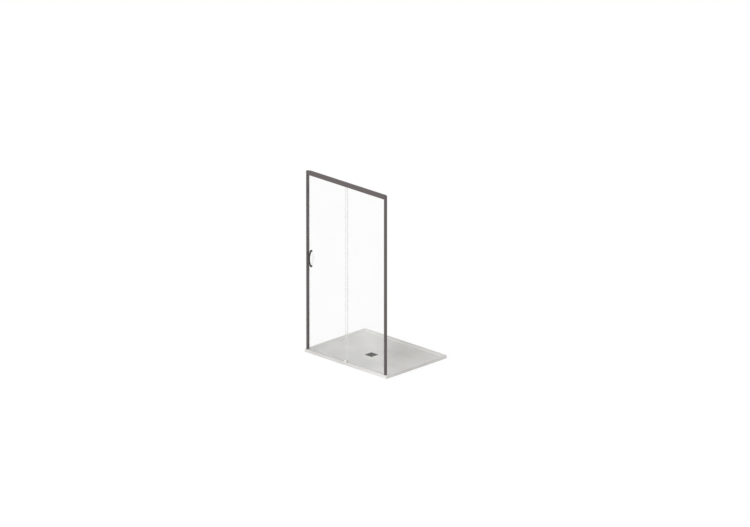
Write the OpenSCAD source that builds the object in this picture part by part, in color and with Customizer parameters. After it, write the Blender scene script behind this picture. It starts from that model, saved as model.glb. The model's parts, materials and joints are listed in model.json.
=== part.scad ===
// Shower tray with a two-pane sliding screen along its front edge.
// The origin is the middle of the tray's underside, X runs along the screen, Y runs from the
// screen to the back of the tray and Z is up. Depths are counted from the screen's front face.

/* [Tray] */
// Length of the tray, along the screen
tray_l = 1200; // [1100:10:1700]
// Width of the tray, from the screen to the back
tray_w = 900; // [700:10:1000]
// Height of the rim above the floor
tray_h = 35; // [32:1:60]
// Width of the flat rim round the basin
rim_w = 36; // [32:1:50]
// Run of the sloping step from the rim to the basin
step_w = 15; // [8:1:30]
// Depth of the step below the rim
step_h = 10; // [6:1:12]
// Fall of the basin floor towards the waste
fall_h = 4; // [2:0.5:6]
// Radius of the tray's outer corners
corner_r = 3; // [2:1:20]
// Chamfer along the tray's top outer edge
edge_c = 1.5; // [0.5:0.5:2.5]
// Tiling on each wall, which laps over the end of the rim
tile_t = 20; // [8:1:30]

/* [Waste] */
// Distance of the waste from the tray's middle, towards the screen
waste_offset = 60; // [0:5:150]
// Bore through the tray for the waste body
waste_d = 90; // [80:1:92]
// Depth of the square recess that holds the cover
recess_depth = 9; // [8.5:0.5:12]
// Thickness of the sealing ring under the waste flange
ring_t = 1.5; // [1:0.5:2]
// Width of the sealing ring inside the edge of the bore
ring_lap = 1.5; // [0:0.1:1.8]
// Thickness of the waste flange
flange_t = 2.5; // [1.5:0.5:3]
// Width by which the waste flange laps over the edge of the bore
flange_lap = 3.5; // [2:0.5:5]
// Diameter of the opening in the waste flange
flange_bore_d = 68; // [60:1:70]
// Diameter of the circle through the flange's screw holes
flange_pcd = 79; // [77:1:82]
// Radius of each screw hole in the flange
flange_hole_r = 2.2; // [1.5:0.1:2.6]
// Side of the square drain cover
cover_w = 100; // [100:1:140]
// Thickness of the drain cover
cover_t = 2.5; // [1.5:0.5:3]
// Gap round the cover in its recess
cover_gap = 2; // [1:0.5:4]
// Distance between the holes in the cover
cover_pitch = 12; // [10:0.5:16]
// Radius of each hole in the cover
cover_hole_r = 3.4; // [2:0.2:4]
// Radius of each foot under the cover
foot_r = 4; // [3:0.5:5]
// Distance from the cover's edge to the middle of a foot
foot_inset = 8; // [6:1:10]
// Wall of the hair strainer
strainer_t = 1.2; // [0.8:0.2:2]
// Depth of the hair strainer under the cover
strainer_h = 4.5; // [3:0.5:5]
// Gap between the strainer and the flange's opening
strainer_gap = 3; // [1:0.5:6]
// Radius of each hole in the strainer
strainer_hole_r = 1.6; // [1:0.1:2]

/* [Frame] */
// Height of the screen above the rim
screen_h = 1980; // [1800:10:2200]
// Distance of the screen's front face from the tray's front edge
setback = 3; // [1:1:8]
// Width of the channel that is fixed to the wall
channel_w = 18; // [16:1:30]
// Wall of the channel
channel_t = 1.5; // [1.2:0.1:2]
// Width of the post that shows beyond the channel
reveal = 3.5; // [3:0.5:15]
// Play between the post and the bottom of the channel, for walls out of plumb
post_play = 3.5; // [2:0.5:8]
// Wall of the post
post_t = 1.4; // [1.2:0.1:2]
// Wall of the strike post behind its seal
strike_t = 2.4; // [2:0.1:4]
// Frame behind the rear face of the door's glass
rear_cover = 5; // [4.5:0.5:10]
// Clearance between profiles that slide in each other
slip = 0.2; // [0.1:0.05:0.4]
// Thickness of the caps on top of the posts
cap_t = 1.6; // [1:0.2:3]
// Length of the plug under each cap
plug_h = 3; // [2:0.5:4]
// Clearance round each plug
plug_fit = 0.3; // [0.1:0.1:0.5]

/* [Header] */
// Wall of the header
header_t = 1.8; // [1.5:0.1:2.2]
// Wall between the fixed pane's pocket and the door's slot
web_t = 1.4; // [1.2:0.1:1.6]
// Depth of the pocket that takes the fixed pane's top edge
pocket_h = 22.4; // [18:0.2:26]
// Ceiling of the pocket
pocket_t = 1.6; // [1.2:0.1:2]
// Height of the roller ledge above the header's underside
ledge_h = 9; // [7:0.5:9.5]
// Thickness of the roller ledge
ledge_t = 2; // [1.6:0.1:3]
// Gap between the door's top rail and the ledge's edge
ledge_gap = 2.8; // [2:0.1:5]
// Radius of the bead that the rollers run on
bead_r = 1.5; // [1.2:0.1:1.8]
// Length of the plug in each end of the header
head_plug_l = 11; // [8:1:13]
// Gap above the anti-lift pads
lift_gap = 0.8; // [0.5:0.1:1]
// Thickness of each door stop
stop_l = 20; // [12:1:30]
// Length of the grub screw that jams each door stop
stop_screw_l = 10; // [6:1:12]
// Thickness of the rubber bumper on each door stop
bumper_t = 3; // [2:0.5:6]
// Gap left between a bumper and the hanger that meets it
bumper_gap = 0.3; // [0.2:0.05:0.5]

/* [Panes] */
// Thickness of both panes
glass_t = 6; // [5:1:8]
// Gap between the two panes
pane_gap = 5.7; // [5.6:0.1:8]
// Overlap of the two panes with the door shut
overlap = 28; // [26:1:60]
// Distance of the overlap's middle from the screen's middle
split_shift = 3; // [-30:1:30]
// Depth of the fixed pane in its post
pane_insert = 12; // [9:0.5:12.5]
// Gasket beside the fixed pane
gasket_t = 1.2; // [0.8:0.1:2]
// Height of the gasket's legs along the pane's top edge
gasket_leg = 12; // [8:1:16]
// Gasket above the pane's top edge
gasket_top_t = 2; // [1:0.2:3]
// Height of the sill seal under the fixed pane
sill_h = 10; // [6:1:14]
// Web of the sill seal, which the fixed pane stands on
sill_t = 2; // [1:0.5:3]
// Height of the door's glass above the rim
door_lift = 10; // [9:0.5:14]

/* [Door seals] */
// Leg of each clip-on seal
clip_t = 1.2; // [0.8:0.1:1.3]
// Clearance between a seal's legs and the glass
clip_fit = 0.2; // [0.05:0.05:0.3]
// Reach of the seals' legs over the glass
clip_leg = 6; // [4:0.5:6]
// Thickness of a seal across the glass's edge
clip_web = 1.5; // [1:0.1:2]
// Width of each magnetic strip
magnet_w = 8; // [6:0.5:8.4]
// Thickness of each magnetic strip
magnet_t = 4.6; // [3:0.1:6]
// Depth of the strike seal's groove
groove_t = 1; // [0.6:0.1:1.2]
// Gap left between seal lips and what they wipe
wipe_gap = 0.3; // [0.2:0.05:0.4]
// Thickness of a seal lip
lip_t = 0.8; // [0.6:0.1:1.2]
// Height of the sweep's legs on the door's bottom edge
sweep_leg = 7; // [5:1:9]
// Gap under the sweep's fin
sweep_gap = 2.5; // [2:0.1:4]
// Thickness of the sweep's fin
fin_t = 2; // [1:0.5:4]

/* [Sill] */
// Width of the threshold strip
strip_w = 10; // [6:1:11]
// Height of the threshold strip
strip_h = 7; // [4:0.5:8]
// Depth from the screen's face to the threshold strip
strip_d = 2; // [1:0.5:2.5]
// Length of the bottom guide
guide_l = 40; // [36:1:70]
// Length of the guide left of the fixed pane
guide_out = 17; // [10:1:25]
// Height of the bottom guide
guide_h = 20; // [19:1:30]
// Wall of the bottom guide
guide_t = 2.5; // [2:0.1:4]
// Floor of the guide's slot
guide_floor = 1.5; // [1:0.1:1.9]
// Running clearance beside the door's sweep
guide_fit = 0.3; // [0.2:0.05:0.5]
// Radius of the grub screws that hold the guide
grub_r = 2; // [1.5:0.5:2.5]

/* [Door hardware] */
// Gap between the header's underside and the door's top rail
rail_gap = 2; // [1.5:0.5:3]
// Height of the door's top rail
rail_h = 15; // [14:0.5:20]
// Solid web at the top of the rail
rail_web = 4; // [3:0.5:5]
// Side wall of the top rail
rail_t = 1.6; // [1.2:0.1:1.8]
// Length by which the top rail stops short of the glass at each end
rail_short = 2; // [1.5:0.5:4]
// Thickness of the caps on the rail's ends
rail_cap_t = 1; // [0.5:0.5:1]
// Length of each hanger
hanger_l = 70; // [60:1:90]
// Height of each hanger
hanger_h = 15; // [14:0.5:18]
// Distance from the glass's edge to the middle of a hanger
hanger_inset = 90; // [60:1:140]
// Distance between the two rollers of a hanger
roller_pitch = 48; // [44:1:50]
// Outer radius of a roller
roller_r = 8.5; // [8.5:0.1:9]
// Width of a roller
roller_w = 6.4; // [6:0.1:7]
// Distance from the ledge's edge to the rollers
roller_inset = 1.4; // [0.8:0.1:3]
// Depth of the roller's groove
groove_h = 1.1; // [1:0.05:1.4]
// Radial clearance of the groove round the bead
groove_fit = 0.2; // [0.15:0.05:0.3]
// Gap between the groove's root and the bead
rolling_gap = 0.1; // [0.05:0.05:0.15]
// Outer radius of the roller's bearing
bearing_r = 5.5; // [5:0.1:5.8]
// Radius of the roller's pin
pin_r = 2.5; // [2:0.1:2.8]
// Radial clearance of the bearing on its pin
pin_fit = 0.05; // [0.02:0.01:0.08]
// Radius of the head of a roller pin
pin_head_r = 4; // [3.5:0.1:4.5]
// Thickness of the head of a roller pin
pin_head_t = 1.3; // [1:0.1:2]
// Gap between the pins' heads and the header's rear wall
pin_head_gap = 0.3; // [0.2:0.1:1]
// Side gap between the roller and its neighbours
roller_side = 0.2; // [0.1:0.05:0.3]
// Radius of the spacer behind each roller
spacer_r = 4; // [3.5:0.1:4.5]
// Clearance between fixed metal pieces, such as a screw in its hole
seat_fit = 0.1; // [0.05:0.05:0.15]
// Distance between the two bolts of a hanger
hanger_bolt_pitch = 22; // [20:1:24]
// Radius of the hanger bolts
hanger_bolt_r = 2; // [1.5:0.1:2.2]
// Radius of the hanger bolts' heads
hanger_head_r = 3.5; // [3:0.1:3.8]
// Height of the hanger bolts' heads
hanger_head_t = 3; // [2:0.1:4]
// Length of each anti-lift pad
pad_l = 40; // [20:1:50]
// Height of each anti-lift pad
pad_h = 5.4; // [3:0.1:8]

/* [Handle] */
// Distance from the door's edge to the handle's middle
handle_inset = 24; // [19:1:60]
// Height of the handle's middle above the rim
handle_up = 1015; // [900:5:1200]
// Distance between the handle's two fixings
handle_pitch = 170; // [140:1:220]
// Width of the handle's bow
bow_w = 18; // [12:1:24]
// Thickness of the handle's bow
bow_t = 11; // [9:1:14]
// Distance from the glass to the handle's outermost face
handle_reach = 34; // [32:1:45]
// Radius along the bow's long edges
bow_round = 3; // [1:0.5:4]
// Metal left in the bow in front of each bolt
bow_skin = 1.5; // [1:0.5:2.5]
// Radius of the rosettes
rosette_r = 11; // [10:0.5:11.5]
// Thickness of the rosettes
rosette_t = 3; // [2:0.5:4]
// Thickness of the washers against the glass
washer_t = 1; // [0.5:0.1:1.5]
// Radius of the holes in the glass
glass_hole_r = 6; // [5:0.5:7]
// Clearance of the bush in the glass
bush_fit = 0.2; // [0.1:0.05:0.3]
// Radius of the handle's bolts
bolt_r = 2.5; // [2:0.1:3]
// Radius of the bolts' heads
bolt_head_r = 4.3; // [3.8:0.1:5]
// Height of the bolts' heads
bolt_head_t = 3; // [2:0.5:4]
// Depth of the hexagon socket in each bolt's head
socket_t = 2; // [1:0.5:3]
// Thickness of the disc under each bolt's head
disc_t = 5; // [4.5:0.5:8]
// Room for the hand between the handle and the fixed pane with the door open
hand_room = 56; // [50:1:90]

/* [Screws] */
// Radius of the holes for the wall screws
wall_hole_r = 2.6; // [2:0.1:3]
// Distance of the outer wall screws from the frame's ends
wall_end = 100; // [60:10:200]
// Distance between the inner pair of wall screws
wall_pitch = 600; // [400:10:800]
// Radius of the lock screws
lock_r = 1.9; // [1.5:0.1:2.2]
// Radius of the lock screws' heads
lock_head_r = 3.6; // [3:0.1:4]
// Height of the lock screws' heads
lock_head_t = 2.2; // [1.5:0.1:3]
// Length of the lock screws under their heads
lock_l = 8; // [6:0.5:10]
// Distance from the wall to the lock screws
lock_inset = 10; // [9:0.5:11]
// Distance of the outer lock screws from the frame's ends
lock_end = 150; // [100:10:300]
// Wall of the snap caps over the lock screws
snap_t = 1; // [0.8:0.1:1.5]
// Radius of the header's end screws
head_screw_r = 2; // [1.5:0.1:2.2]
// Radius of the end screws' heads
head_screw_head_r = 3.4; // [3:0.1:3.8]
// Height of the end screws' heads
head_screw_head_t = 2; // [1.5:0.1:2.4]
// Length of the end screws under their heads
head_screw_l = 18; // [15:1:20]

/* [Hidden] */
$fn = 48;
// Cutters run past the faces that they cut by this much
over = 1;

frame_colour = [0.44, 0.42, 0.42];
dark_colour = [0.30, 0.28, 0.28];
tray_colour = [0.78, 0.78, 0.77];
glass_colour = [0.85, 0.92, 0.92, 0.35];
seal_colour = [0.88, 0.90, 0.90, 0.6];
rubber_colour = [0.10, 0.10, 0.10];
nylon_colour = [0.20, 0.20, 0.20];
steel_colour = [0.70, 0.70, 0.72];

// Levels, from the floor up
floor_z = tray_h - step_h;
waste_z = floor_z - fall_h;
base_z = waste_z - recess_depth;
top_z = tray_h + screen_h;
frame_z = top_z - cap_t;

// Places along the screen
wall_x = -(tray_l / 2 - tile_t);
post_x0 = wall_x + channel_t + post_play;
post_x1 = wall_x + channel_w + reveal;
head_x = post_x1 + slip;
strike_x = post_x1 - groove_t + clip_web + magnet_t;
door_x0 = strike_x + wipe_gap + magnet_t + clip_web;
door_x1 = split_shift + overlap / 2;
fixed_x0 = split_shift - overlap / 2;
fixed_x1 = -post_x1 + pane_insert;
lock_x = wall_x + lock_inset;

// Depths behind the screen's front face
front_y = -tray_w / 2 + setback;
post_d0 = channel_t + slip;
fixed_d0 = post_d0 + post_t + gasket_t;
fixed_d1 = fixed_d0 + glass_t;
door_d0 = fixed_d1 + pane_gap;
door_d1 = door_d0 + glass_t;
door_mid = (door_d0 + door_d1) / 2;
channel_d = door_d1 + rear_cover;
post_d1 = channel_d - channel_t - slip;
pocket_d1 = fixed_d1 + gasket_t;
web_d1 = pocket_d1 + web_t;
rail_d0 = door_d0 - clip_fit - rail_t;
rail_d1 = door_d1 + clip_fit + rail_t;
ledge_d0 = rail_d1 + ledge_gap;
roller_d0 = ledge_d0 + roller_inset;
roller_d1 = roller_d0 + roller_w;
roller_mid = (roller_d0 + roller_d1) / 2;
pin_head_d = roller_d1 + roller_side;
header_in = pin_head_d + pin_head_t + pin_head_gap;
header_d = header_in + header_t;
hanger_d0 = rail_d0;
hanger_d1 = rail_d1;

// Heights above the header's underside
header_h = rail_gap + rail_h + hanger_h + pad_h + lift_gap + header_t;
head_z = top_z - header_h;
rail_top = rail_gap + rail_h;
hanger_top = rail_top + hanger_h;
ledge_top = ledge_h + ledge_t;
roller_up = ledge_top + bead_r + rolling_gap + roller_r - groove_h;
ceiling = header_h - header_t;
pocket_top = pocket_h + pocket_t;
pane_up = pocket_h - gasket_top_t;
glass_up = rail_top - rail_web - clip_fit;

// The door's rollers and its travel
hanger_xs = [door_x0 + hanger_inset, door_x1 - hanger_inset];
roller_xs = [
    for (x = hanger_xs) for (side = [-1, 1]) x + side * roller_pitch / 2
];
handle_x = door_x0 + handle_inset;
handle_z = tray_h + handle_up;
handle_zs = [handle_z - handle_pitch / 2, handle_z + handle_pitch / 2];
travel = fixed_x0 - hand_room - (handle_x + rosette_r);

// Places of the screws
wall_zs = [
    for (half = [screen_h / 2 - wall_end, wall_pitch / 2]) for (side = [-1, 1])
        tray_h + screen_h / 2 + side * half
];
lock_zs = [tray_h + lock_end, tray_h + screen_h / 2, top_z - lock_end];
head_screw_ups = [header_h - cap_t - plug_h - head_screw_r - 1, rail_top + 6];
foot_at = cover_w / 2 - foot_inset;

// A block between two limits along X, in depth and in height
module block(x, d, z) {
    translate([x[0], front_y + d[0], z[0]])
        cube([x[1] - x[0], d[1] - d[0], z[1] - z[0]]);
}

// A round bar that runs in depth, along Y
module bar_y(x, z, r, d) {
    translate([x, front_y + d[0], z])
        rotate([-90, 0, 0]) cylinder(h = d[1] - d[0], r = r);
}

// A round bar that runs along X
module bar_x(x, d, z, r) {
    translate([x[0], front_y + d, z])
        rotate([0, 90, 0]) cylinder(h = x[1] - x[0], r = r);
}

// A round bar that runs upwards
module bar_z(x, d, r, z) {
    translate([x, front_y + d, z[0]]) cylinder(h = z[1] - z[0], r = r);
}

// A section in depth and height, drawn out along X from a base height
module drawn_x(x, base) {
    translate([x[0], front_y, base])
        rotate([90, 0, 90]) linear_extrude(x[1] - x[0]) children();
}

// A rectangle of a section, between two limits each way
module patch(u, v) {
    translate([u[0], v[0]]) square([u[1] - u[0], v[1] - v[0]]);
}

// A piece made for the left end, turned round for the right end
module right_end() {
    mirror([1, 0, 0]) children();
}

// Tray

module tray_slab() {
    l = tray_l / 2;
    w = tray_w / 2;
    intersection() {
        linear_extrude(tray_h) {
            square([tray_l - 2 * corner_r, tray_w], center = true);
            square([tray_l, tray_w - 2 * corner_r], center = true);
            for (x = [-1, 1], y = [-1, 1])
                translate([x * (l - corner_r), y * (w - corner_r)]) circle(corner_r);
        }
        rotate([90, 0, 0]) linear_extrude(tray_w, center = true) chamfered(l);
        rotate([90, 0, 90]) linear_extrude(tray_l, center = true) chamfered(w);
    }
}

// The slab's section, with both top edges chamfered
module chamfered(half) {
    polygon([
        [-half, 0], [half, 0], [half, tray_h - edge_c], [half - edge_c, tray_h],
        [edge_c - half, tray_h], [-half, tray_h - edge_c]
    ]);
}

// One way across the basin: the step down from the rim, then the fall to the recess
module basin_section(half, middle, recess) {
    foot = half - rim_w - step_w;
    lip = half - rim_w + step_w * over / step_h;
    polygon([
        [-lip, tray_h + over], [-foot, floor_z], [middle - recess, waste_z],
        [middle + recess, waste_z], [foot, floor_z], [lip, tray_h + over]
    ]);
}

module shower_tray() {
    recess = cover_w / 2 + cover_gap;
    color(tray_colour) difference() {
        tray_slab();
        intersection() {
            rotate([90, 0, 0]) linear_extrude(tray_w, center = true)
                basin_section(tray_l / 2, 0, recess);
            rotate([90, 0, 90]) linear_extrude(tray_l, center = true)
                basin_section(tray_w / 2, -waste_offset, recess);
        }
        translate([-recess, -waste_offset - recess, base_z])
            cube([2 * recess, 2 * recess, recess_depth + over]);
        translate([0, -waste_offset, -over]) cylinder(h = base_z + 2 * over, d = waste_d);
    }
}

module waste_ring(r0, r1, z0, t) {
    translate([0, -waste_offset, z0]) difference() {
        cylinder(h = t, r = r1);
        translate([0, 0, -over]) cylinder(h = t + 2 * over, r = r0);
        children();
    }
}

module waste_sealing_ring() {
    color(rubber_colour)
        waste_ring(waste_d / 2 - ring_lap, waste_d / 2 + flange_lap, base_z, ring_t);
}

module waste_flange() {
    color(steel_colour)
        waste_ring(flange_bore_d / 2, waste_d / 2 + flange_lap, base_z + ring_t, flange_t)
            for (a = [45:90:315]) rotate(a) translate([flange_pcd / 2, 0, -over])
                cylinder(h = flange_t + 2 * over, r = flange_hole_r);
}

module drain_cover() {
    n = floor((cover_w - 2 * foot_inset) / cover_pitch / 2);
    color(dark_colour) translate([0, -waste_offset, waste_z - cover_t]) difference() {
        translate([-cover_w / 2, -cover_w / 2, 0]) cube([cover_w, cover_w, cover_t]);
        for (i = [-n:n], j = [-n:n]) translate([i * cover_pitch, j * cover_pitch, -over])
            cylinder(h = cover_t + 2 * over, r = cover_hole_r);
    }
}

module cover_feet() {
    color(rubber_colour) for (x = [-foot_at, foot_at], y = [-foot_at, foot_at])
        translate([x, y - waste_offset, base_z])
            cylinder(h = recess_depth - cover_t, r = foot_r);
}

module hair_strainer() {
    r = flange_bore_d / 2 - strainer_gap;
    color(steel_colour)
        translate([0, -waste_offset, waste_z - cover_t - strainer_h]) difference() {
            cylinder(h = strainer_h, r = r);
            translate([0, 0, strainer_t]) cylinder(h = strainer_h, r = r - strainer_t);
            for (ring = [0:2], k = [0:max(0, 6 * ring - 1)])
                rotate(60 * k / max(1, ring)) translate([ring * (r - strainer_t) / 3, 0, -over])
                    cylinder(h = strainer_t + 2 * over, r = strainer_hole_r);
        }
}

// Wall channels and posts

module wall_channel() {
    difference() {
        block([wall_x, wall_x + channel_w], [0, channel_d], [tray_h, frame_z]);
        block(
            [wall_x + channel_t, wall_x + channel_w + over],
            [channel_t, channel_d - channel_t], [tray_h - over, frame_z + over]
        );
        for (z = wall_zs)
            bar_x([wall_x - over, wall_x + channel_t + over], channel_d / 2, z, wall_hole_r);
        lock_holes();
    }
}

// Holes for the lock screws through the rear of a channel and its post
module lock_holes() {
    for (z = lock_zs)
        bar_y(lock_x, z, lock_r + seat_fit, [post_d1 - post_t - over, channel_d + over]);
}

// Holes for the header's end screws in the face of a post
module head_screw_holes(x) {
    for (up = head_screw_ups) bar_x(x, door_mid, head_z + up, head_screw_r + seat_fit);
}

module wall_channel_left() {
    color(frame_colour) wall_channel();
}

module wall_channel_right() {
    color(frame_colour) right_end() wall_channel();
}

module strike_post() {
    color(frame_colour) difference() {
        block([post_x0, post_x1], [post_d0, post_d1], [tray_h, frame_z]);
        block(
            [post_x0 + post_t, post_x1 - strike_t], [post_d0 + post_t, post_d1 - post_t],
            [tray_h - over, frame_z + over]
        );
        block(
            [post_x1 - groove_t, post_x1 + over],
            [door_mid - magnet_w / 2 - seat_fit, door_mid + magnet_w / 2 + seat_fit],
            [tray_h - over, head_z + over]
        );
        lock_holes();
        head_screw_holes([post_x1 - strike_t - over, post_x1 + over]);
    }
}

module glazing_post() {
    chamber_d0 = fixed_d1 + gasket_t + post_t;
    color(frame_colour) right_end() difference() {
        block([post_x0, post_x1], [post_d0, post_d1], [tray_h, frame_z]);
        block(
            [post_x0 + post_t, post_x1 + over], [fixed_d0 - gasket_t, fixed_d1 + gasket_t],
            [tray_h - over, frame_z + over]
        );
        block(
            [post_x0 + post_t, post_x1 - post_t], [chamber_d0, post_d1 - post_t],
            [tray_h - over, frame_z + over]
        );
        lock_holes();
        head_screw_holes([post_x1 - post_t - over, post_x1 + over]);
    }
}

module post_cap(face_t, plug_d0) {
    block([wall_x, post_x1], [0, channel_d], [frame_z, top_z]);
    block(
        [post_x0 + post_t + plug_fit, post_x1 - face_t - plug_fit],
        [plug_d0 + plug_fit, post_d1 - post_t - plug_fit], [frame_z - plug_h, frame_z]
    );
}

module post_cap_left() {
    color(frame_colour) post_cap(strike_t, post_d0 + post_t);
}

module post_cap_right() {
    color(frame_colour) right_end() post_cap(post_t, fixed_d1 + gasket_t + post_t);
}

module lock_screws() {
    color(steel_colour) for (z = lock_zs) {
        lock_screw(z);
        right_end() lock_screw(z);
    }
}

module lock_screw(z) {
    bar_y(lock_x, z, lock_r, [channel_d - lock_l, channel_d]);
    bar_y(lock_x, z, lock_head_r, [channel_d, channel_d + lock_head_t]);
}

module lock_screw_caps() {
    color(frame_colour) for (z = lock_zs) {
        snap_cap(z);
        right_end() snap_cap(z);
    }
}

module snap_cap(z) {
    inner_r = lock_head_r + seat_fit;
    inner_d = channel_d + lock_head_t + seat_fit;
    difference() {
        bar_y(lock_x, z, inner_r + snap_t, [channel_d, inner_d + snap_t]);
        bar_y(lock_x, z, inner_r, [channel_d - over, inner_d]);
    }
}

module strike_seal() {
    color(seal_colour) block(
        [post_x1 - groove_t, strike_x], [door_mid - magnet_w / 2, door_mid + magnet_w / 2],
        [tray_h + sill_t, head_z + over]
    );
}

// Header

module header_rail() {
    color(frame_colour) drawn_x([head_x, -head_x], head_z) {
        patch([0, header_t], [0, header_h]);
        patch([0, header_d], [ceiling, header_h]);
        patch([header_in, header_d], [ledge_h, header_h]);
        patch([ledge_d0, header_in + header_t / 2], [ledge_h, ledge_top]);
        patch([pocket_d1, web_d1], [0, pocket_top]);
        patch([header_t / 2, web_d1], [pocket_h, pocket_top]);
        translate([roller_mid, ledge_top]) circle(bead_r);
    }
}

// The plug fills the header's end above the pane's pocket and above the roller ledge
module header_plug() {
    low = ledge_top + bead_r + slip;
    color(nylon_colour) difference() {
        drawn_x([head_x, head_x + head_plug_l], head_z) {
            patch([header_t + slip, header_in - slip], [pocket_top + slip, ceiling - slip]);
            patch([web_d1 + slip, header_in - slip], [low, ceiling - slip]);
        }
        head_screw_holes([head_x - over, head_x + head_plug_l + over]);
    }
}

module header_plug_left() {
    header_plug();
}

module header_plug_right() {
    right_end() header_plug();
}

module header_screws() {
    color(steel_colour) for (up = head_screw_ups) {
        header_screw(up);
        right_end() header_screw(up);
    }
}

module header_screw(up) {
    x = head_x + head_plug_l;
    bar_x([x - head_screw_l, x], door_mid, head_z + up, head_screw_r);
    bar_x([x, x + head_screw_head_t], door_mid, head_z + up, head_screw_head_r);
}

// A stop stands on the pocket's ceiling, and a grub screw jams it under the header's top
module door_stop(x, stop_x) {
    difference() {
        block(
            x, [header_t + slip, hanger_d1],
            [head_z + pocket_top, head_z + ceiling - slip]
        );
        bar_z(
            stop_x, door_mid, grub_r + seat_fit,
            [head_z + pocket_top - over, head_z + header_h]
        );
    }
}

stop_left_x1 = hanger_xs[0] - hanger_l / 2 - bumper_gap - bumper_t;
stop_right_x0 = hanger_xs[1] + hanger_l / 2 + travel + bumper_gap + bumper_t;

module door_stop_left() {
    color(nylon_colour)
        door_stop([stop_left_x1 - stop_l, stop_left_x1], stop_left_x1 - stop_l / 2);
}

module door_stop_right() {
    color(nylon_colour)
        door_stop([stop_right_x0, stop_right_x0 + stop_l], stop_right_x0 + stop_l / 2);
}

module stop_screws() {
    z = head_z + ceiling;
    color(steel_colour) for (x = [stop_left_x1 - stop_l / 2, stop_right_x0 + stop_l / 2])
        bar_z(x, door_mid, grub_r, [z - stop_screw_l, z]);
}

module bumper(x) {
    color(rubber_colour) block(
        [x, x + bumper_t], [hanger_d0, hanger_d1],
        [head_z + pocket_top + slip, head_z + hanger_top]
    );
}

module bumper_left() {
    bumper(stop_left_x1);
}

module bumper_right() {
    bumper(stop_right_x0 - bumper_t);
}

// Fixed pane and its seals

module fixed_pane() {
    color(glass_colour) block(
        [fixed_x0, fixed_x1], [fixed_d0, fixed_d1], [tray_h + sill_t, head_z + pane_up]
    );
}

module pane_gasket_top() {
    color(rubber_colour) drawn_x([fixed_x0, -head_x], head_z) {
        patch([header_t, fixed_d0], [pane_up - gasket_leg, pocket_h]);
        patch([fixed_d1, pocket_d1], [pane_up - gasket_leg, pocket_h]);
        patch([header_t, pocket_d1], [pane_up, pocket_h]);
    }
}

module pane_gasket_side() {
    z = [tray_h, head_z + pane_up];
    x = -post_x1;
    color(rubber_colour) {
        block([x, fixed_x1 + gasket_t], [fixed_d0 - gasket_t, fixed_d0], z);
        block([x, fixed_x1 + gasket_t], [fixed_d1, fixed_d1 + gasket_t], z);
        block([fixed_x1, fixed_x1 + gasket_t], [fixed_d0 - gasket_t, fixed_d1 + gasket_t], z);
    }
}

module sill_seal() {
    color(seal_colour) drawn_x([fixed_x0 - guide_out + guide_l + slip, -head_x], tray_h) {
        patch([fixed_d0 - gasket_t, fixed_d1 + gasket_t], [0, sill_t]);
        patch([fixed_d0 - gasket_t, fixed_d0], [0, sill_h]);
        patch([fixed_d1, fixed_d1 + gasket_t], [0, sill_h]);
    }
}

// A clip round a pane's edge that stands upright. The edge faces the way of side.
module edge_clip(edge, side, d, z) {
    out = edge + side * clip_web;
    leg = edge - side * clip_leg;
    outer = [d[0] - clip_fit - clip_t, d[1] + clip_fit + clip_t];
    x = side < 0 ? [out, leg] : [leg, out];
    block(x, [outer[0], d[0] - clip_fit], z);
    block(x, [d[1] + clip_fit, outer[1]], z);
    block(side < 0 ? [out, edge] : [edge, out], outer, z);
}

module overlap_seal() {
    z = [tray_h + guide_h + over, head_z - over];
    color(seal_colour) {
        edge_clip(fixed_x0, -1, [fixed_d0, fixed_d1], z);
        block(
            [fixed_x0 - clip_web, fixed_x0 - clip_web + lip_t],
            [fixed_d1 + clip_fit, door_d0 - wipe_gap], z
        );
    }
}

module threshold_strip() {
    top_r = strip_h / 4;
    color(seal_colour) drawn_x([head_x, fixed_x0 - guide_out - slip], tray_h) {
        polygon([
            [strip_d, 0], [strip_d + strip_w, 0], [strip_d + strip_w / 2 + top_r, strip_h - top_r],
            [strip_d + strip_w / 2 - top_r, strip_h - top_r]
        ]);
        translate([strip_d + strip_w / 2, strip_h - top_r]) circle(top_r);
    }
}

guide_x0 = fixed_x0 - guide_out;
guide_pocket = [fixed_d0 - clip_fit, fixed_d1 + clip_fit];
guide_slot = [
    door_d0 - clip_fit - clip_t - guide_fit, door_d1 + clip_fit + clip_t + guide_fit
];
grub_xs = [for (share = [0.3, 0.75]) fixed_x0 + share * (guide_l - guide_out)];
grub_z = tray_h + 0.6 * guide_h;

module bottom_guide() {
    x = [guide_x0, guide_x0 + guide_l];
    top = tray_h + guide_h;
    color(seal_colour) difference() {
        block(x, [guide_pocket[0] - guide_t, guide_slot[1] + guide_t], [tray_h, top]);
        block([fixed_x0 - clip_fit, x[1] + over], guide_pocket, [tray_h + sill_t, top + over]);
        block([x[0] - over, x[1] + over], guide_slot, [tray_h + guide_floor, top + over]);
        for (x = grub_xs) bar_y(
            x, grub_z, grub_r + seat_fit,
            [guide_pocket[0] - guide_t - over, guide_pocket[0] + over]
        );
    }
}

module guide_screws() {
    color(steel_colour) for (x = grub_xs)
        bar_y(x, grub_z, grub_r, [guide_pocket[0] - guide_t, fixed_d0]);
}

// Door

module door_pane() {
    color(glass_colour) difference() {
        block([door_x0, door_x1], [door_d0, door_d1], [tray_h + door_lift, head_z + glass_up]);
        for (z = handle_zs)
            bar_y(handle_x, z, glass_hole_r, [door_d0 - over, door_d1 + over]);
    }
}

module door_top_rail() {
    color(frame_colour) difference() {
        drawn_x([door_x0 + rail_short, door_x1 - rail_short], head_z) difference() {
            patch([rail_d0, rail_d1], [rail_gap, rail_top]);
            patch([rail_d0 + rail_t, rail_d1 - rail_t], [rail_gap - over, rail_top - rail_web]);
        }
        hanger_bolt_holes();
    }
}

module hanger_bolt_holes() {
    for (x = hanger_xs, side = [-1, 1]) bar_z(
        x + side * hanger_bolt_pitch / 2, door_mid, hanger_bolt_r + seat_fit,
        [head_z + glass_up, head_z + header_h]
    );
}

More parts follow.
